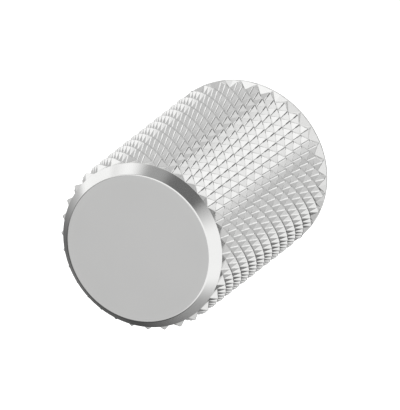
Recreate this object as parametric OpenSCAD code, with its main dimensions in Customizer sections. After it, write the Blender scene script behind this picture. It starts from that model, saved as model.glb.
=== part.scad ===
// Knurled cylinder knob for a cabinet door or a drawer front.
// Turned from bar in one piece. The back face lies on the door at y = 0 and the
// knob stands out toward -Y. The origin is the middle of the back face, +Z is up.

/* [Body] */
// Diameter over the points of the knurl
crest_d = 20; // [16:0.5:28]
// Length from the back face to the front face
body_len = 29.4; // [24:0.2:36]

/* [Front end] */
// Length of the front bevel along the axis
bevel_len = 1.2; // [0.8:0.1:2]
// Width of the front bevel across the radius
bevel_w = 0.96; // [0.6:0.02:1.5]
// Radius of the small round between the bevel and the front face
face_round = 0.2; // [0.1:0.05:0.4]

/* [Knurl] */
// Number of diamonds around the body
teeth_around = 32; // [24:1:40]
// Number of diamonds along the body
teeth_along = 13; // [9:1:16]
// Height of a diamond above the floor of the grooves
tooth_h = 0.74; // [0.4:0.01:0.9]
// Turn of the pattern about the axis, in degrees
knurl_turn = 1.25; // [0:0.25:11.25]

/* [Back end] */
// Length of the plain ring behind the knurl
ring_len = 0.2; // [0.15:0.05:1]
// Height of the plain ring above the floor of the grooves
ring_h = 0.5; // [0.1:0.01:0.7]

/* [Screw hole] */
// Tapping drill diameter for an M4 machine screw
tap_d = 3.3; // [2.6:0.1:4.2]
// Depth of the straight part of the hole
tap_depth = 13; // [8:0.5:18]
// Point angle of the drill
drill_angle = 118; // [90:2:140]
// Diameter of the countersink at the mouth
sink_d = 4.6; // [4.4:0.1:6]

/* [Hidden] */
turned_fn = 180;
crest_r = crest_d / 2;
root_r = crest_r - tooth_h;
ring_r = root_r + ring_h;
// the turned ends stand a hair outside the knurl's corners, so that they meet cleanly
lip = 0.02;
bevel_r = root_r + lip;
face_r = bevel_r - bevel_w;
knurl_z0 = ring_len;
knurl_z1 = body_len - bevel_len;
// half pitches around and along
cols = 2 * teeth_around;
rows = 2 * teeth_along;
row_h = (knurl_z1 - knurl_z0) / rows;
// a diamond's top lies where column and row add up to an odd number, and the grooves
// run out to the ring at the back
function knurl_r(i, j) =
    j == 0 ? ring_r : (i + j) % 2 == 1 && j < rows ? crest_r : root_r;
function knurl_pt(i, j) =
    let (a = 360 * i / cols + knurl_turn, r = knurl_r(i, j))
    [r * cos(a), r * sin(a), knurl_z0 + j * row_h];
function at(i, j) = j * cols + i % cols;
// the square from column i, row j is split along its groove
function knurl_faces(i, j) =
    let (a = at(i, j), b = at(i + 1, j), c = at(i + 1, j + 1), d = at(i, j + 1))
    (i + j) % 2 == 0 ? [[a, c, b], [a, d, c]] : [[a, d, b], [b, d, c]];
// round between the bevel and the face, tangent to both
bevel_slope = atan2(bevel_w, bevel_len);
round_t = face_round * tan((90 - bevel_slope) / 2);
round_c = [face_r - round_t, body_len - face_round];
round_steps = 4;
function round_pts() = [for (k = [0 : round_steps])
    let (a = bevel_slope + (90 - bevel_slope) * k / round_steps)
    [round_c[0] + face_round * cos(a), round_c[1] + face_round * sin(a)]];

// Diamond-knurled grip, closed at both ends
module grip() {
    points = concat(
        [for (j = [0 : rows]) for (i = [0 : cols - 1]) knurl_pt(i, j)],
        [[0, 0, knurl_z0], [0, 0, knurl_z1]]);
    c0 = (rows + 1) * cols;
    c1 = c0 + 1;
    faces = concat(
        [for (j = [0 : rows - 1]) for (i = [0 : cols - 1]) each knurl_faces(i, j)],
        [for (i = [0 : cols - 1]) [c0, at(i, 0), at(i + 1, 0)]],
        [for (i = [0 : cols - 1]) [c1, at(i + 1, rows), at(i, rows)]]);
    polyhedron(points = points, faces = faces, convexity = 6);
}

// Plain front end: bevel, small round and flat face
module nose() {
    rotate_extrude($fn = turned_fn)
        polygon(concat([[0, knurl_z1], [bevel_r, knurl_z1]], round_pts(), [[0, body_len]]));
}

// Plain ring that stands on the door
module back_ring() {
    cylinder(r = ring_r + lip, h = ring_len, $fn = turned_fn);
}

// Blind screw hole with its drill point and its countersink, cut from the back face
module screw_hole() {
    over = 1;
    tip_len = tap_d / 2 / tan(drill_angle / 2);
    translate([0, 0, -over]) cylinder(d = tap_d, h = tap_depth + over, $fn = 96);
    translate([0, 0, tap_depth]) cylinder(d1 = tap_d, d2 = 0, h = tip_len, $fn = 96);
    sink_len = (sink_d - tap_d) / 2;
    translate([0, 0, -over])
        cylinder(d1 = sink_d + 2 * over, d2 = tap_d, h = sink_len + over, $fn = 96);
}

module knob() {
    color([0.78, 0.78, 0.77])
    rotate([90, 0, 0])
    difference() {
        union() {
            grip();
            nose();
            back_ring();
        }
        screw_hole();
    }
}

knob();
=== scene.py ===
"""Knurled cabinet knob, dressed around its CAD frame and laid out as a Blender add-on."""

import math

import bpy
from bpy.props import FloatProperty, FloatVectorProperty, IntProperty, PointerProperty
from bpy.types import Operator, Panel, PropertyGroup
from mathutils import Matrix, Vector


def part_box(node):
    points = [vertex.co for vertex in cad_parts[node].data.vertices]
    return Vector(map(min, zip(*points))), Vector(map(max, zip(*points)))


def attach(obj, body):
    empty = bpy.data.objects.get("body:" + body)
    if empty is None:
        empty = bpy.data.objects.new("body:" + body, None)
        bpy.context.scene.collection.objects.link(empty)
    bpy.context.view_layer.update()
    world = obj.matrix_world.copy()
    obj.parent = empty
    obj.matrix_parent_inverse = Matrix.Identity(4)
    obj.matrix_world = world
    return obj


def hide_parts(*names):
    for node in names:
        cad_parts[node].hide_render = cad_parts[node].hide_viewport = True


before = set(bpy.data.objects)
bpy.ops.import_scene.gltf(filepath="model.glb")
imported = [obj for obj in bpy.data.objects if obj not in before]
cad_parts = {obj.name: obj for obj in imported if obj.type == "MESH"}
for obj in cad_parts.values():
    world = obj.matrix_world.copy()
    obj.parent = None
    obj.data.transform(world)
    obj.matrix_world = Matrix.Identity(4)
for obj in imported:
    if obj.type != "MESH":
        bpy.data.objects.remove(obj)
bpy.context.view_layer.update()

bl_info = {
    "name": "Knurled cabinet knob",
    "version": (1, 0, 0),
    "blender": (4, 5, 0),
    "location": "View3D > Sidebar > Knob",
    "description": "Builds a turned, diamond-knurled metal knob and the stage it is shown on",
    "category": "Add Mesh",
}

MM = 0.001
BODY = "root"
NODE = "knob"
CAD_LOW, CAD_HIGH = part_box(NODE)


# ---------------------------------------------------------------- sizes and colours


class KnobShape(PropertyGroup):
    """Sizes of the knob. The two main ones come from the CAD frame."""

    crest_diameter: FloatProperty(
        name="Diameter", description="Diameter over the points of the knurl",
        default=CAD_HIGH[0] - CAD_LOW[0], unit="LENGTH", precision=5)
    length: FloatProperty(
        name="Length", description="Length from the back face to the front face",
        default=CAD_HIGH[1] - CAD_LOW[1], unit="LENGTH", precision=5)
    bevel_length: FloatProperty(
        name="Bevel length", description="Length of the front bevel along the axis",
        default=1.2 * MM, unit="LENGTH", precision=5)
    bevel_width: FloatProperty(
        name="Bevel width", description="Width of the front bevel across the radius",
        default=0.96 * MM, unit="LENGTH", precision=5)
    face_round: FloatProperty(
        name="Face round", description="Radius between the bevel and the front face",
        default=0.2 * MM, unit="LENGTH", precision=5)
    teeth_around: IntProperty(
        name="Diamonds around", description="Number of diamonds around the body",
        default=32, min=8)
    teeth_along: IntProperty(
        name="Diamonds along", description="Number of diamonds along the body",
        default=13, min=2)
    tooth_height: FloatProperty(
        name="Diamond height", description="Height of a diamond above the grooves",
        default=0.74 * MM, unit="LENGTH", precision=5)
    knurl_turn: FloatProperty(
        name="Pattern turn", description="Turn of the knurl about the axis",
        default=math.radians(1.25), subtype="ANGLE")
    ring_length: FloatProperty(
        name="Ring length", description="Length of the plain ring at the back",
        default=0.2 * MM, unit="LENGTH", precision=5)
    ring_height: FloatProperty(
        name="Ring height", description="Height of the plain ring above the grooves",
        default=0.5 * MM, unit="LENGTH", precision=5)
    ridge_flat: FloatProperty(
        name="Ridge flat", description="Cut off the ridges along the knob, in half diamonds",
        default=0.08, min=0.0, max=0.3, subtype="FACTOR")
    edge_break: FloatProperty(
        name="Edge break", description="Cut off the edges around the knob, in half diamonds",
        default=0.06, min=0.0, max=0.3, subtype="FACTOR")
    tap_diameter: FloatProperty(
        name="Tap drill", description="Diameter inside the screw thread",
        default=3.3 * MM, unit="LENGTH", precision=5)
    thread_diameter: FloatProperty(
        name="Thread", description="Diameter at the bottom of the thread's grooves",
        default=4.05 * MM, unit="LENGTH", precision=5)
    thread_pitch: FloatProperty(
        name="Thread pitch", description="Advance of the screw thread in one turn",
        default=0.7 * MM, unit="LENGTH", precision=5)
    tap_depth: FloatProperty(
        name="Hole depth", description="Depth of the straight part of the screw hole",
        default=13.0 * MM, unit="LENGTH", precision=5)
    sink_diameter: FloatProperty(
        name="Countersink", description="Diameter of the countersink at the hole's mouth",
        default=4.6 * MM, unit="LENGTH", precision=5)
    drill_angle: FloatProperty(
        name="Drill point", description="Point angle of the drill that made the hole",
        default=math.radians(118.0), subtype="ANGLE")


class KnobFinish(PropertyGroup):
    """Colour, gloss and fine texture of the metal, and the shade painted into its grooves."""

    metal: FloatVectorProperty(
        name="Metal", description="Colour of the bare metal",
        default=(0.88, 0.88, 0.872), size=3, min=0.0, max=1.0, subtype="COLOR")
    mottle: FloatProperty(
        name="Mottle", description="Uneven tone of the metal, as a share of its colour",
        default=0.02, min=0.0, max=0.3, subtype="FACTOR")
    painted_groove_shade: FloatProperty(
        name="Painted groove shade", description="Darkening at the bottom of the knurl's grooves",
        default=0.14, min=0.0, max=1.0, subtype="FACTOR")
    painted_groove_shade_height: FloatProperty(
        name="Painted shade height", description="How far the painted shade climbs out of the grooves",
        default=0.1 * MM, unit="LENGTH", precision=5)
    face_roughness: FloatProperty(
        name="Face roughness", description="Roughness of the satin front face",
        default=0.3, min=0.0, max=1.0, subtype="FACTOR")
    bevel_roughness: FloatProperty(
        name="Bevel roughness", description="Roughness of the bright bevel",
        default=0.13, min=0.0, max=1.0, subtype="FACTOR")
    knurl_roughness: FloatProperty(
        name="Knurl roughness", description="Roughness of the diamond knurl",
        default=0.12, min=0.0, max=1.0, subtype="FACTOR")
    back_roughness: FloatProperty(
        name="Back roughness", description="Roughness of the turned back and the hole",
        default=0.3, min=0.0, max=1.0, subtype="FACTOR")
    turned_pitch: FloatProperty(
        name="Turned lines", description="Spacing of the turning tool's lines on the back",
        default=0.14 * MM, unit="LENGTH", precision=5)
    bevel_pitch: FloatProperty(
        name="Bevel lines", description="Spacing of the turning tool's lines on the bevel",
        default=0.05 * MM, unit="LENGTH", precision=5)


class StageSetup(PropertyGroup):
    """Floor, light and camera."""

    floor_drop: FloatProperty(
        name="Floor below axis", description="Height of the knob's axis above the floor",
        default=50.0 * MM, unit="LENGTH")
    floor_size: FloatProperty(
        name="Floor size", description="Side of the square floor",
        default=20.0, unit="LENGTH")
    floor_colour: FloatVectorProperty(
        name="Floor", description="Colour of the pale floor",
        default=(0.9, 0.9, 0.9), size=3, min=0.0, max=1.0, subtype="COLOR")
    lamp_power: FloatProperty(
        name="Lamp", description="Power of the soft lamp over the floor",
        default=2.0, unit="POWER")
    camera_azimuth: FloatProperty(
        name="Camera azimuth", description="Turn of the camera from straight in front",
        default=math.radians(22.70), subtype="ANGLE")
    camera_elevation: FloatProperty(
        name="Camera elevation", description="Height of the camera above the level",
        default=math.radians(19.12), subtype="ANGLE")
    frame_height: FloatProperty(
        name="Frame height", description="Height that the camera's frame spans",
        default=44.13 * MM, unit="LENGTH", precision=5)
    aim_right: FloatProperty(
        name="Aim right", description="Frame's middle, right of the axis where the bevel starts",
        default=6.175 * MM, unit="LENGTH", precision=5)
    aim_up: FloatProperty(
        name="Aim up", description="Frame's middle, above the axis where the bevel starts",
        default=4.323 * MM, unit="LENGTH", precision=5)


# ---------------------------------------------------------------- mesh of the knob


def turned_point(radius, turn, along):
    """A point of the knob: radius and turn about its axis, and distance from its back."""
    return (radius * math.cos(turn), -along, radius * math.sin(turn))


class Skin:
    """A closed skin made of rings, walked from the bottom of the hole to the front face."""

    def __init__(self):
        self.points, self.faces, self.finishes = [], [], []

    def add(self, point):
        self.points.append(point)
        return len(self.points) - 1

    def face(self, corners, finish):
        self.faces.append(corners)
        self.finishes.append(finish)

    def ring(self, count, radius, along, turn=0.0):
        """A ring whose radius may be a number or a function of the turn."""
        made = []
        for k in range(count):
            a = turn + 2 * math.pi * k / count
            r = radius(a) if callable(radius) else radius
            made.append(self.add(turned_point(r, a, along)))
        return made

    def bridge(self, a, b, finish):
        """Joins ring a to ring b, which has as many points or twice as many, and returns b."""
        n = len(a)
        for k in range(n):
            a0, a1 = a[k], a[(k + 1) % n]
            if len(b) == n:
                self.face((a0, a1, b[(k + 1) % n], b[k]), finish)
            else:
                b0, b1, b2 = b[2 * k], b[2 * k + 1], b[(2 * k + 2) % len(b)]
                self.face((a0, a1, b1), finish)
                self.face((a0, b1, b0), finish)
                self.face((a1, b2, b1), finish)
        return b

    def cap(self, ring, point, finish, last):
        """Closes the skin at a point, at its first ring or its last."""
        centre, n = self.add(point), len(ring)
        for k in range(n):
            pair = (ring[k], ring[(k + 1) % n])
            self.face((*pair, centre) if last else (pair[1], pair[0], centre), finish)


# steps across one square of the knurl: fine beside its edges, where the ridges are cut
SQUARE_STEPS = (0.0, 0.06, 0.1, 0.5, 0.9, 0.94, 1.0)
SUBS = len(SQUARE_STEPS) - 1
# the cut narrows to nothing over this share of a ridge, at the ridge's low end
RIDGE_FADE = 0.25
# finishes of the faces, in the order of the mesh's materials
KNURL, FACE, BEVEL, TURNED = range(4)


class Knurl:
    """The diamond knurl as a height over columns and rows of half diamonds."""

    def __init__(self, shape):
        self.cols, self.rows = 2 * shape.teeth_around, 2 * shape.teeth_along
        self.around = self.cols * SUBS
        self.crest = shape.crest_diameter / 2
        self.root = self.crest - shape.tooth_height
        self.ring = self.root + shape.ring_height
        self.start = shape.ring_length
        self.end = shape.length - shape.bevel_length
        self.turn = shape.knurl_turn
        self.ridge, self.edge = shape.ridge_flat, shape.edge_break

    def radius(self, i, j):
        """Radius at column i and row j. A diamond's top is where they add up to an odd number."""
        if j == 0:
            return self.ring
        return self.crest if (i + j) % 2 and j < self.rows else self.root

    def corner(self, i, j):
        along = self.start + (self.end - self.start) * j / self.rows
        turn = 2 * math.pi * i / self.cols + self.turn
        return Vector(turned_point(self.radius(i, j), turn, along))

    def point(self, i, j, s, t):
        """The point at (s, t) in the square from column i, row j."""
        # the square is split along its groove, and each half belongs to one diamond
        top_first = (i + j) % 2 == 1
        if top_first:
            near = s + t <= 1
            ti, tj = (i, j) if near else (i + 1, j + 1)
        else:
            near = s >= t
            ti, tj = (i + 1, j) if near else (i, j + 1)
        u = s if ti == i else 1 - s
        v = t if tj == j else 1 - t
        side_i = i + 1 if ti == i else i
        side_j = j + 1 if tj == j else j
        top = self.corner(ti, tj)
        place = top + u * (self.corner(side_i, tj) - top) + v * (self.corner(ti, side_j) - top)
        drop = self.drop(ti, tj, u, v)
        axis = Vector((0.0, place.y, 0.0))
        return place - (place - axis).normalized() * drop

    def drop(self, i, j, u, v):
        """How far the cut ridges lie below the sharp ones, u and v from a diamond's top."""
        if j in (0, self.rows):
            return 0.0
        here = self.radius(i, j)
        across = here - (self.radius(i - 1, j) + self.radius(i + 1, j)) / 2
        along = here - (self.radius(i, j - 1) + self.radius(i, j + 1)) / 2
        total = 0.0
        for kink, cut, off, way in ((across, self.ridge, u, v), (along, self.edge, v, u)):
            cut *= min(1.0, (1.0 - way) / RIDGE_FADE)
            total += kink * max(0.0, cut - off)
        return total

    def build(self, skin):
        """Adds the knurl to the skin and returns its first and last rings."""
        steps, n = SQUARE_STEPS[:-1], self.around
        levels = [(j, t) for j in range(self.rows) for t in steps] + [(self.rows - 1, 1.0)]
        rings = [[skin.add(self.point(i, j, s, t)) for i in range(self.cols) for s in steps]
                 for j, t in levels]
        for row, (a, b) in enumerate(zip(rings, rings[1:])):
            j, q = divmod(row, SUBS)
            # in front of the last diamonds lie flats that the turning tool left
            beyond = TURNED if j == self.rows - 1 else KNURL
            for k in range(n):
                i, p = divmod(k, SUBS)
                a0, a1, b1, b0 = a[k], a[(k + 1) % n], b[(k + 1) % n], b[k]
                # how many steps this face lies in front of its square's groove
                past = q - p if (i + j) % 2 == 0 else p + q - (SUBS - 1)
                if past:
                    skin.face((a0, a1, b1, b0), beyond if past > 0 else KNURL)
                elif (i + j) % 2 == 0:
                    skin.face((a0, a1, b1), KNURL)
                    skin.face((a0, b1, b0), beyond)
                else:
                    skin.face((a0, a1, b0), KNURL)
                    skin.face((a1, b1, b0), beyond)
        return rings[0], rings[-1]


# rings in one turn of the thread
THREAD_STEPS = 8
# shares of the pitch that the thread's flat crest and its two flanks take
THREAD_CREST, THREAD_FLANKS = 0.25, 0.6
# the thread ends this far from the bottom, and fades out over this length before it
THREAD_STOP, THREAD_FADE = 1.2 * MM, 1.5 * MM
# rings of the back face, each with twice the points of the one inside it
BACK_RADII = (3.2 * MM, 4.8 * MM, 7.0 * MM)
# radius of the broken edge round the back, and where the middle of a quarter round lies
BACK_EDGE, ROUND_MIDDLE = 0.06 * MM, 0.3
# the turned ends stand a hair outside the knurl's corners
LIP = 0.02 * MM
# rings of the bevel, from its back to the small round, then steps over that round
BEVEL_STEPS = (0.0, 0.03, 0.35, 0.7, 0.97)
ROUND_STEPS = 6
# rings of the front face, as shares of its radius
FACE_STEPS = (0.99, 0.9, 0.7, 0.5, 0.3, 0.12)


def thread_radius(shape, along, turn):
    """Radius of the tapped hole: thread, countersink, and the thread's end near the bottom."""
    inner = shape.tap_diameter / 2
    phase = (along / shape.thread_pitch - turn / (2 * math.pi)) % 1.0
    wave = abs(2 * phase - 1)
    groove = min(1.0, max(0.0, (wave - THREAD_CREST) / THREAD_FLANKS))
    fade = min(1.0, max(0.0, (shape.tap_depth - THREAD_STOP - along) / THREAD_FADE))
    radius = inner + (shape.thread_diameter / 2 - inner) * groove * fade
    return max(radius, shape.sink_diameter / 2 - along)


def build_hole(skin, shape, count):
    """Adds the drill point, the thread and the countersink, and returns the ring at the mouth."""
    steps = round(shape.tap_depth / shape.thread_pitch * THREAD_STEPS)
    rings = [skin.ring(count, lambda turn: thread_radius(shape, along, turn), along)
             for along in (shape.tap_depth * (1 - k / steps) for k in range(steps + 1))]
    tip = shape.tap_depth + shape.tap_diameter / 2 / math.tan(shape.drill_angle / 2)
    skin.cap(rings[0], turned_point(0.0, 0.0, tip), TURNED, last=False)
    for a, b in zip(rings, rings[1:]):
        skin.bridge(a, b, TURNED)
    return rings[-1]


def build_back(skin, shape, knurl, last):
    """Adds the back face, its broken edge and the plain ring, and returns the last ring."""
    count = len(last)
    for radius in BACK_RADII:
        count *= 2
        last = skin.bridge(last, skin.ring(count, radius, 0.0), TURNED)
    rim, middle = knurl.ring + LIP, BACK_EDGE * ROUND_MIDDLE
    for radius, along in ((rim - 2 * BACK_EDGE, 0.0), (rim - BACK_EDGE, 0.0),
                          (rim - middle, middle), (rim, BACK_EDGE), (rim, shape.ring_length)):
        last = skin.bridge(last, skin.ring(knurl.around, radius, along, knurl.turn), TURNED)
    return last


def nose_rings(shape, knurl):
    """Radius, place along the axis and finish of each ring from the knurl to the face's middle."""
    bevel_r = knurl.root + LIP
    slope = math.atan2(shape.bevel_width, shape.bevel_length)
    back = shape.face_round * math.tan((math.pi / 2 - slope) / 2)
    centre_r = bevel_r - shape.bevel_width - back
    centre_along = shape.length - shape.face_round
    rounded = []
    for k in range(ROUND_STEPS + 1):
        a = slope + (math.pi / 2 - slope) * k / ROUND_STEPS
        rounded.append((centre_r + shape.face_round * math.cos(a),
                        centre_along + shape.face_round * math.sin(a), BEVEL))
    start_r, start_along, _ = rounded[0]
    bevel = [(bevel_r + (start_r - bevel_r) * f, knurl.end + (start_along - knurl.end) * f, BEVEL)
             for f in BEVEL_STEPS]
    return bevel + rounded + [(centre_r * f, shape.length, FACE) for f in FACE_STEPS]


def knob_mesh(shape):
    """The whole knob as one closed skin."""
    skin, knurl = Skin(), Knurl(shape)
    hole_count, rest = divmod(knurl.around, 2 ** len(BACK_RADII))
    if rest:
        raise RuntimeError("the number of diamonds around the knob has to be even")
    mouth = build_hole(skin, shape, hole_count)
    last = build_back(skin, shape, knurl, mouth)
    first, end = knurl.build(skin)
    skin.bridge(last, first, TURNED)
    last = end
    for radius, along, finish in nose_rings(shape, knurl):
        last = skin.bridge(last, skin.ring(knurl.around, radius, along, knurl.turn), finish)
    skin.cap(last, turned_point(0.0, 0.0, shape.length), FACE, last=True)
    return skin


# ---------------------------------------------------------------- materials


def new_group(name, inputs, outputs):
    """An empty shader node group with its named sockets."""
    tree = bpy.data.node_groups.new(name, "ShaderNodeTree")
    for socket, kind, value in inputs:
        made = tree.interface.new_socket(socket, in_out="INPUT", socket_type=kind)
        made.default_value = value
    for socket, kind in outputs:
        tree.interface.new_socket(socket, in_out="OUTPUT", socket_type=kind)
    return tree, tree.nodes.new("NodeGroupInput"), tree.nodes.new("NodeGroupOutput")


def feed(tree, value, socket):
    """Gives a socket a plain value, or another socket's output."""
    if isinstance(value, bpy.types.NodeSocket):
        tree.links.new(value, socket)
    else:
        socket.default_value = value


def math_node(tree, operation, *values):
    """A Math node, whose values are numbers or sockets."""
    node = tree.nodes.new("ShaderNodeMath")
    node.operation = operation
    for socket, value in zip(node.inputs, values):
        feed(tree, value, socket)
    return node.outputs[0]


def mix_node(tree, factor, a, b):
    """Value a where the factor is 0, and b where it is 1."""
    node = tree.nodes.new("ShaderNodeMix")
    for name, value in (("Factor", factor), ("A", a), ("B", b)):
        feed(tree, value, node.inputs[name])
    return node.outputs["Result"]


def ramp_node(tree, value, low, high, bottom=0.0, top=1.0, kind="SMOOTHSTEP"):
    """Goes from bottom to top as the value goes from low to high."""
    node = tree.nodes.new("ShaderNodeMapRange")
    node.interpolation_type = kind
    for name, item in (("Value", value), ("From Min", low), ("From Max", high),
                       ("To Min", bottom), ("To Max", top)):
        feed(tree, item, node.inputs[name])
    return node.outputs["Result"]


def scaled(tree, colour, share):
    """A colour times a number."""
    node = tree.nodes.new("ShaderNodeVectorMath")
    node.operation = "SCALE"
    tree.links.new(colour, node.inputs[0])
    tree.links.new(share, node.inputs["Scale"])
    return node.outputs["Vector"]


def darkened(tree, colour, mask, low):
    """The colour times low where the mask is 0, and as it is where the mask is 1."""
    return scaled(tree, colour, ramp_node(tree, mask, 0.0, 1.0, bottom=low, kind="LINEAR"))


def axis_radius(tree):
    """The distance from the knob's axis, and the place it was measured at."""
    place = tree.nodes.new("ShaderNodeTexCoord").outputs["Object"]
    flat = tree.nodes.new("ShaderNodeVectorMath")
    flat.operation = "MULTIPLY"
    flat.inputs[1].default_value = (1.0, 0.0, 1.0)
    tree.links.new(place, flat.inputs[0])
    length = tree.nodes.new("ShaderNodeVectorMath")
    length.operation = "LENGTH"
    tree.links.new(flat.outputs["Vector"], length.inputs[0])
    return length.outputs["Value"], place


def noise(tree, place, scale, detail):
    """A noise of 0 to 1 over the surface, its scale a number or a socket."""
    node = tree.nodes.new("ShaderNodeTexNoise")
    node.inputs["Detail"].default_value = detail
    tree.links.new(place, node.inputs["Vector"])
    feed(tree, scale, node.inputs["Scale"])
    return node.outputs["Fac"]


# the gloss changes this many times more finely than the tone
GLOSS_FINENESS = 40.0
# fineness of the noise that makes a mask's edge ragged, sways the turned lines and grains them
RAGGED_SCALE, WAVER_SCALE, TOOL_GRAIN_SCALE = 4000.0, 900.0, 14000.0
# how much of the way along the axis counts as the turning tool's travel
BORE_TRAVEL = 0.6


def mottle_group():
    """Slow changes of tone and fine changes of gloss in bare metal."""
    tree, start, end = new_group(
        "Metal Mottle",
        (("Metal", "NodeSocketColor", (0.8, 0.8, 0.8, 1.0)), ("Tone", "NodeSocketFloat", 0.02),
         ("Roughness", "NodeSocketFloat", 0.2), ("Unevenness", "NodeSocketFloat", 0.1),
         ("Scale", "NodeSocketFloat", 300.0)),
        (("Color", "NodeSocketColor"), ("Roughness", "NodeSocketFloat")))
    place = tree.nodes.new("ShaderNodeTexCoord").outputs["Object"]
    scale = start.outputs["Scale"]
    shares = []
    for fineness, detail, amount in ((scale, 3.0, "Tone"), (
            math_node(tree, "MULTIPLY", scale, GLOSS_FINENESS), 2.0, "Unevenness")):
        cloud = noise(tree, place, fineness, detail)
        swing = math_node(tree, "MULTIPLY", math_node(tree, "SUBTRACT", cloud, 0.5), 2.0)
        shares.append(math_node(tree, "MULTIPLY_ADD", swing, start.outputs[amount], 1.0))
    tone, gloss = shares
    tree.links.new(scaled(tree, start.outputs["Metal"], tone), end.inputs["Color"])
    tree.links.new(math_node(tree, "MULTIPLY", gloss, start.outputs["Roughness"]),
                   end.inputs["Roughness"])
    return tree


def radius_mask_group():
    """A mask that climbs from 0 at one distance from the axis to 1 at another."""
    tree, start, end = new_group(
        "Radius Mask",
        (("From", "NodeSocketFloat", 0.0), ("To", "NodeSocketFloat", 0.01),
         ("Raggedness", "NodeSocketFloat", 0.0)),
        (("Mask", "NodeSocketFloat"),))
    radius, place = axis_radius(tree)
    cloud = math_node(tree, "SUBTRACT", noise(tree, place, RAGGED_SCALE, 2.0), 0.5)
    ragged = math_node(tree, "MULTIPLY_ADD", cloud, start.outputs["Raggedness"], radius)
    mask = ramp_node(tree, ragged, start.outputs["From"], start.outputs["To"])
    tree.links.new(mask, end.inputs["Mask"])
    return tree


def turned_group():
    """The fine spiral that a turning tool leaves, as a height, with a little grain in it."""
    tree, start, end = new_group(
        "Turned Lines",
        (("Pitch", "NodeSocketFloat", 0.0001), ("Waver", "NodeSocketFloat", 0.2),
         ("Grain", "NodeSocketFloat", 0.3)),
        (("Height", "NodeSocketFloat"),))
    radius, place = axis_radius(tree)
    axes = tree.nodes.new("ShaderNodeSeparateXYZ")
    tree.links.new(place, axes.inputs[0])
    # the lines follow the tool outward on a face and along the axis in a bore
    travel = math_node(tree, "ADD", radius, math_node(
        tree, "MULTIPLY", axes.outputs["Y"], BORE_TRAVEL))
    turns = math_node(tree, "DIVIDE", travel, start.outputs["Pitch"])
    waver = math_node(tree, "MULTIPLY", noise(tree, place, WAVER_SCALE, 2.0),
                      start.outputs["Waver"])
    wave = math_node(tree, "SINE", math_node(
        tree, "MULTIPLY", math_node(tree, "ADD", turns, waver), 2 * math.pi))
    height = math_node(tree, "MULTIPLY_ADD", noise(tree, place, TOOL_GRAIN_SCALE, 3.0),
                       start.outputs["Grain"], math_node(tree, "MULTIPLY_ADD", wave, 0.5, 0.5))
    tree.links.new(height, end.inputs["Height"])
    return tree


def grain_group():
    """Fine even grain of a satin surface, as a height."""
    tree, start, end = new_group(
        "Satin Grain", (("Scale", "NodeSocketFloat", 9000.0),), (("Height", "NodeSocketFloat"),))
    place = tree.nodes.new("ShaderNodeTexCoord").outputs["Object"]
    tree.links.new(noise(tree, place, start.outputs["Scale"], 4.0), end.inputs["Height"])
    return tree


def placed(tree, group, output, **values):
    """Places a group in a material with its own values, and returns one of its outputs."""
    node = tree.nodes.new("ShaderNodeGroup")
    node.node_tree = group
    for name, value in values.items():
        node.inputs[name].default_value = value
    return node.outputs[output]


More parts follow.
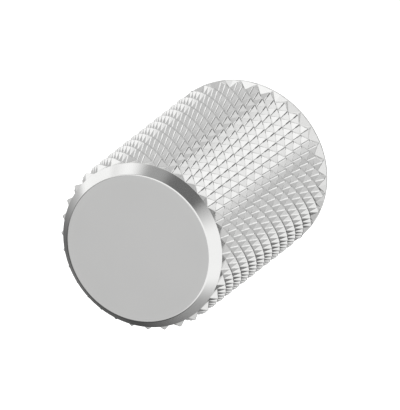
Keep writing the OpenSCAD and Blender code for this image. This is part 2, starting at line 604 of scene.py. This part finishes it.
class MetalKit:
    """The node groups that the metals share, and the metals made from them."""

    def __init__(self, shape, finish):
        self.shape, self.finish = shape, finish
        self.mottle, self.mask = mottle_group(), radius_mask_group()
        self.lines, self.grain = turned_group(), grain_group()

    def bare(self, name, roughness, unevenness, scale, tone=1.0):
        """A bare metal, its mottle tone times as strong as the finish says, and its colour."""
        material = bpy.data.materials.new(name)
        material.use_nodes = True
        tree = material.node_tree
        shader = tree.nodes["Principled BSDF"]
        shader.inputs["Metallic"].default_value = 1.0
        colour = placed(tree, self.mottle, "Color", Metal=(*self.finish.metal, 1.0),
                        Tone=self.finish.mottle * tone, Roughness=roughness,
                        Unevenness=unevenness, Scale=scale)
        tree.links.new(colour.node.outputs["Roughness"], shader.inputs["Roughness"])
        return material, tree, colour

    def darkened_inside(self, tree, colour, low, inner, outer, raggedness):
        """The colour, times low inside one distance from the axis, as it is outside another."""
        mask = placed(tree, self.mask, "Mask", From=inner, To=outer, Raggedness=raggedness)
        return darkened(tree, colour, mask, low)

    def dress(self, tree, colour, height, depth):
        """Gives the metal its colour, and a bump of a given depth."""
        shader = tree.nodes["Principled BSDF"]
        bump = tree.nodes.new("ShaderNodeBump")
        bump.inputs["Strength"].default_value = 1.0
        bump.inputs["Distance"].default_value = depth
        tree.links.new(colour, shader.inputs["Base Color"])
        tree.links.new(height, bump.inputs["Height"])
        tree.links.new(bump.outputs["Normal"], shader.inputs["Normal"])

    def knurled(self):
        """Rolled facets: bright and fine, with painted shade at the bottom of the grooves."""
        material, tree, colour = self.bare(
            "knurled metal", self.finish.knurl_roughness, unevenness=0.25, scale=220.0)
        root = self.shape.crest_diameter / 2 - self.shape.tooth_height
        # painted shade: the facets are darkened near the bottom of the grooves, where shade falls
        # between the diamonds
        colour = self.darkened_inside(
            tree, colour, low=1.0 - self.finish.painted_groove_shade, inner=root - 0.02 * MM,
            outer=root + self.finish.painted_groove_shade_height, raggedness=0.06 * MM)
        grain = placed(tree, self.grain, "Height", Scale=7000.0)
        self.dress(tree, colour, grain, depth=0.0006 * MM)
        return material

    def satin(self):
        """The front face, an even satin, with painted light that leaves it a little lighter at its
        rim.
        """
        material, tree, colour = self.bare(
            "satin face metal", self.finish.face_roughness, unevenness=0.12, scale=70.0, tone=2.5)
        rim = self.shape.crest_diameter / 2 - self.shape.tooth_height - self.shape.bevel_width
        # painted highlight: the face is darkened a little inside its rim, so that the rim reads
        # lighter
        colour = self.darkened_inside(
            tree, colour, low=0.985, inner=rim - 1.2 * MM, outer=rim, raggedness=0.3 * MM)
        grain = placed(tree, self.grain, "Height", Scale=9000.0)
        self.dress(tree, colour, grain, depth=0.0012 * MM)
        return material

    def bright(self):
        """The bevel, cut bright by a fine tool."""
        material, tree, colour = self.bare(
            "bright bevel metal", self.finish.bevel_roughness, unevenness=0.2, scale=260.0)
        lines = placed(tree, self.lines, "Height", Pitch=self.finish.bevel_pitch, Waver=0.5,
                       Grain=0.6)
        self.dress(tree, colour, lines, depth=0.00012 * MM)
        return material

    def turned(self):
        """The back face, the screw hole and the edges, left as the tool cut them, with painted
        shade inside the hole.
        """
        material, tree, colour = self.bare(
            "turned metal", self.finish.back_roughness, unevenness=0.2, scale=200.0)
        hole = self.shape.thread_diameter / 2
        # painted shade: the colour is darker inside the screw hole, where shade falls
        colour = self.darkened_inside(
            tree, colour, low=0.8, inner=hole - 0.3 * MM, outer=hole + 0.2 * MM,
            raggedness=0.1 * MM)
        # wide faint rings lie over the tool's fine lines
        rings = placed(tree, self.lines, "Height", Pitch=self.finish.turned_pitch * 6, Waver=1.2,
                       Grain=0.6)
        colour = darkened(tree, colour, rings, low=0.93)
        lines = placed(tree, self.lines, "Height", Pitch=self.finish.turned_pitch, Waver=0.3,
                       Grain=0.4)
        self.dress(tree, colour, lines, depth=0.004 * MM)
        return material


# edges sharper than this stay sharp where the metal is smooth
SHARP_EDGE = math.radians(33)


class KNOB_OT_build(Operator):
    """Build the knurled knob and dress it in its metal"""

    bl_idname = "knob.build"
    bl_label = "Knob"

    def execute(self, context):
        shape, finish = context.scene.knob_shape, context.scene.knob_finish
        skin = knob_mesh(shape)
        mesh = bpy.data.meshes.new("knurled_knob")
        mesh.from_pydata([tuple(p) for p in skin.points], [], skin.faces)
        kit = MetalKit(shape, finish)
        # in the order of KNURL, FACE, BEVEL and TURNED
        for material in (kit.knurled(), kit.satin(), kit.bright(), kit.turned()):
            mesh.materials.append(material)
        mesh.polygons.foreach_set("material_index", skin.finishes)
        mesh.shade_smooth()
        mesh.set_sharp_from_angle(angle=SHARP_EDGE)
        # the knurl's facets are flat, the turned parts are smooth
        mesh.polygons.foreach_set("use_smooth", [kind != KNURL for kind in skin.finishes])
        if mesh.validate():
            raise RuntimeError("the knob's mesh has bad faces")
        knob = bpy.data.objects.new("knurled_knob", mesh)
        context.scene.collection.objects.link(knob)
        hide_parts(NODE)
        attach(knob, BODY)
        return {"FINISHED"}


# ---------------------------------------------------------------- stage


# the studio that the metal mirrors, each sheet painted over the ones before it:
# name, turn from straight in front, height, half width, half height (degrees), brightness
STUDIO_SHEETS = (
    ("softbox over the back", -160, 70, 85, 20, 1.05),
    ("wide window on the left", -110, 0, 50, 45, 0.6),
    ("dark floor on the left", -100, -50, 40, 45, 0.05),
    ("strip light on the left", -100, 25, 10, 20, 1.05),
    ("grey wall behind", 145, -10, 50, 45, 0.55),
    ("softbox in front", 0, 35, 50, 30, 1.05),
    ("dark card beside the lens", -40, -15, 30, 30, 0.05),
    ("dark flag above", 70, 60, 15, 25, 0.15),
    ("strip light on the right", 90, 0, 10, 40, 0.9),
    ("softbox behind right", 110, 30, 10, 35, 0.85),
    ("table behind", 150, -60, 35, 15, 0.55),
    ("white card below the front", 45, -20, 70, 45, 1.0),
    ("dark gap under the back", 180, -45, 30, 10, 0.15),
    ("softbox front left", -75, 25, 25, 15, 1.0),
    ("dark bench behind", 175, -25, 25, 10, 0.1),
    ("dark door behind", 150, 0, 10, 20, 0.1),
    ("pale wall behind", -165, 15, 20, 20, 0.7),
)
# brightness of the walls above and below the horizon, and how softly the two meet
WALL_ABOVE, WALL_BELOW = 0.35, 0.05
HORIZON_BLEND = 0.2
# half width of a sheet's soft edge, as a share of the sheet
SHEET_SOFTNESS = 0.25
# even light of the world on everything that isn't mirrored
PLAIN_LIGHT = 0.9
# how much the floor is lifted toward white for the camera
FLOOR_LIFT = 0.3
LAMP_SIZE, LAMP_PLACE = 0.4, (-0.25, -0.25, 0.6)
CAMERA_DISTANCE = 0.5


def outlook(turn, height):
    """Right, up and outward at a place turned from straight in front and raised."""
    outward = Vector((math.sin(turn) * math.cos(height), -math.cos(turn) * math.cos(height),
                      math.sin(height)))
    right = Vector((math.cos(turn), math.sin(turn), 0.0))
    return right, outward.cross(right), outward


def studio_sheet_group():
    """A soft-edged oval sheet of light on the studio's walls, laid over what is there."""
    tree, start, end = new_group(
        "Studio Sheet",
        (("Behind", "NodeSocketFloat", 0.0), ("Direction", "NodeSocketVector", (0, 0, 0)),
         ("Right", "NodeSocketVector", (1, 0, 0)), ("Up", "NodeSocketVector", (0, 0, 1)),
         ("Middle", "NodeSocketVector", (0, -1, 0)), ("Brightness", "NodeSocketFloat", 1.0)),
        (("Light", "NodeSocketFloat"),))
    parts = []
    for name in ("Right", "Up", "Middle"):
        dot = tree.nodes.new("ShaderNodeVectorMath")
        dot.operation = "DOT_PRODUCT"
        tree.links.new(start.outputs["Direction"], dot.inputs[0])
        tree.links.new(start.outputs[name], dot.inputs[1])
        parts.append(dot.outputs["Value"])
    right, up, middle = parts
    away = math_node(tree, "SQRT", math_node(
        tree, "ADD", math_node(tree, "MULTIPLY", right, right),
        math_node(tree, "MULTIPLY", up, up)))
    inside = ramp_node(tree, away, 1 + SHEET_SOFTNESS, 1 - SHEET_SOFTNESS)
    facing = math_node(tree, "GREATER_THAN", middle, 0.0)
    mask = math_node(tree, "MULTIPLY", inside, facing)
    light = mix_node(tree, mask, start.outputs["Behind"], start.outputs["Brightness"])
    tree.links.new(light, end.inputs["Light"])
    return tree


def studio_world():
    """White to the camera, a studio of soft sheets to the metal, plain light to the rest."""
    world = bpy.data.worlds.new("studio")
    world.use_nodes = True
    tree = world.node_tree
    background = tree.nodes["Background"]
    direction = tree.nodes.new("ShaderNodeTexCoord").outputs["Generated"]
    axes = tree.nodes.new("ShaderNodeSeparateXYZ")
    tree.links.new(direction, axes.inputs[0])
    light = ramp_node(tree, axes.outputs["Z"], -HORIZON_BLEND, HORIZON_BLEND,
                      bottom=WALL_BELOW, top=WALL_ABOVE)
    group = studio_sheet_group()
    for name, turn, height, half_width, half_height, brightness in STUDIO_SHEETS:
        right, up, middle = outlook(math.radians(turn), math.radians(height))
        sheet = tree.nodes.new("ShaderNodeGroup")
        sheet.node_tree, sheet.name, sheet.label = group, name, name
        for socket, value in (
                ("Behind", light), ("Direction", direction), ("Middle", middle),
                ("Right", right / math.sin(math.radians(half_width))),
                ("Up", up / math.sin(math.radians(half_height))), ("Brightness", brightness)):
            feed(tree, value, sheet.inputs[socket])
        light = sheet.outputs["Light"]
    rays = tree.nodes.new("ShaderNodeLightPath").outputs
    shiny = math_node(tree, "MAXIMUM", rays["Is Glossy Ray"], rays["Is Transmission Ray"])
    strength = mix_node(tree, rays["Is Camera Ray"],
                        mix_node(tree, shiny, PLAIN_LIGHT, light), 1.0)
    background.inputs["Color"].default_value = (1.0, 1.0, 1.0, 1.0)
    tree.links.new(strength, background.inputs["Strength"])
    return world


def stage_floor(context, setup):
    """A plain pale floor that is white to the camera where nothing shades it."""
    material = bpy.data.materials.new("pale floor")
    material.use_nodes = True
    tree = material.node_tree
    shader = tree.nodes["Principled BSDF"]
    shader.inputs["Base Color"].default_value = (*setup.floor_colour, 1.0)
    shader.inputs["Roughness"].default_value = 0.9
    shader.inputs["Specular IOR Level"].default_value = 0.0
    shader.inputs["Emission Color"].default_value = (1.0, 1.0, 1.0, 1.0)
    rays = tree.nodes.new("ShaderNodeLightPath")
    lift = math_node(tree, "MULTIPLY", rays.outputs["Is Camera Ray"], FLOOR_LIFT)
    tree.links.new(lift, shader.inputs["Emission Strength"])
    half, level = setup.floor_size / 2, -setup.floor_drop
    mesh = bpy.data.meshes.new("floor")
    mesh.from_pydata([(-half, -half, level), (half, -half, level),
                      (half, half, level), (-half, half, level)], [], [(0, 1, 2, 3)])
    mesh.materials.append(material)
    floor = bpy.data.objects.new("floor", mesh)
    floor.visible_glossy = False
    context.scene.collection.objects.link(floor)


def stage_lamp(context, setup):
    """One wide soft lamp above, for the floor's soft shadow."""
    data = bpy.data.lights.new("soft lamp", "AREA")
    data.shape, data.size = "DISK", LAMP_SIZE
    data.energy = setup.lamp_power
    lamp = bpy.data.objects.new("soft lamp", data)
    lamp.location = LAMP_PLACE
    lamp.rotation_mode = "QUATERNION"
    lamp.rotation_quaternion = (-lamp.location).to_track_quat("-Z", "Y")
    lamp.visible_glossy = False
    context.scene.collection.objects.link(lamp)


def stage_camera(context, setup):
    """A camera without perspective, turned and raised to look at the front and the side."""
    right, up, outward = outlook(setup.camera_azimuth, setup.camera_elevation)
    shape = context.scene.knob_shape
    bevel_start = Vector((0.0, -(shape.length - shape.bevel_length), 0.0))
    target = bevel_start + right * setup.aim_right + up * setup.aim_up
    data = bpy.data.cameras.new("camera")
    data.type = "ORTHO"
    data.ortho_scale = setup.frame_height
    data.clip_start, data.clip_end = 0.01, 10.0
    camera = bpy.data.objects.new("camera", data)
    camera.location = target + outward * CAMERA_DISTANCE
    camera.rotation_mode = "QUATERNION"
    camera.rotation_quaternion = (-outward).to_track_quat("-Z", "Y")
    context.scene.collection.objects.link(camera)
    context.scene.camera = camera


class KNOB_OT_stage(Operator):
    """Set up the pale floor, the soft light and the camera"""

    bl_idname = "knob.stage"
    bl_label = "Stage"

    def execute(self, context):
        setup = context.scene.knob_stage
        context.scene.view_settings.view_transform = "Standard"
        context.scene.world = studio_world()
        stage_floor(context, setup)
        stage_lamp(context, setup)
        stage_camera(context, setup)
        return {"FINISHED"}


class KNOB_PT_panel(Panel):
    """Lists the pieces of the knob and its stage"""

    bl_idname = "KNOB_PT_panel"
    bl_label = "Knurled knob"
    bl_space_type = "VIEW_3D"
    bl_region_type = "UI"
    bl_category = "Knob"

    def draw(self, context):
        for group, operator in ((context.scene.knob_shape, None),
                                (context.scene.knob_finish, KNOB_OT_build),
                                (context.scene.knob_stage, KNOB_OT_stage)):
            box = self.layout.box()
            for name in group.__annotations__:
                box.prop(group, name)
            if operator:
                box.operator(operator.bl_idname)


CLASSES = (KnobShape, KnobFinish, StageSetup, KNOB_OT_build, KNOB_OT_stage, KNOB_PT_panel)


def register():
    for cls in CLASSES:
        bpy.utils.register_class(cls)
    bpy.types.Scene.knob_shape = PointerProperty(type=KnobShape)
    bpy.types.Scene.knob_finish = PointerProperty(type=KnobFinish)
    bpy.types.Scene.knob_stage = PointerProperty(type=StageSetup)


def unregister():
    for name in ("knob_shape", "knob_finish", "knob_stage"):
        delattr(bpy.types.Scene, name)
    for cls in reversed(CLASSES):
        bpy.utils.unregister_class(cls)


def main():
    register()
    bpy.ops.knob.build()
    bpy.ops.knob.stage()


if __name__ == "__main__":
    main()
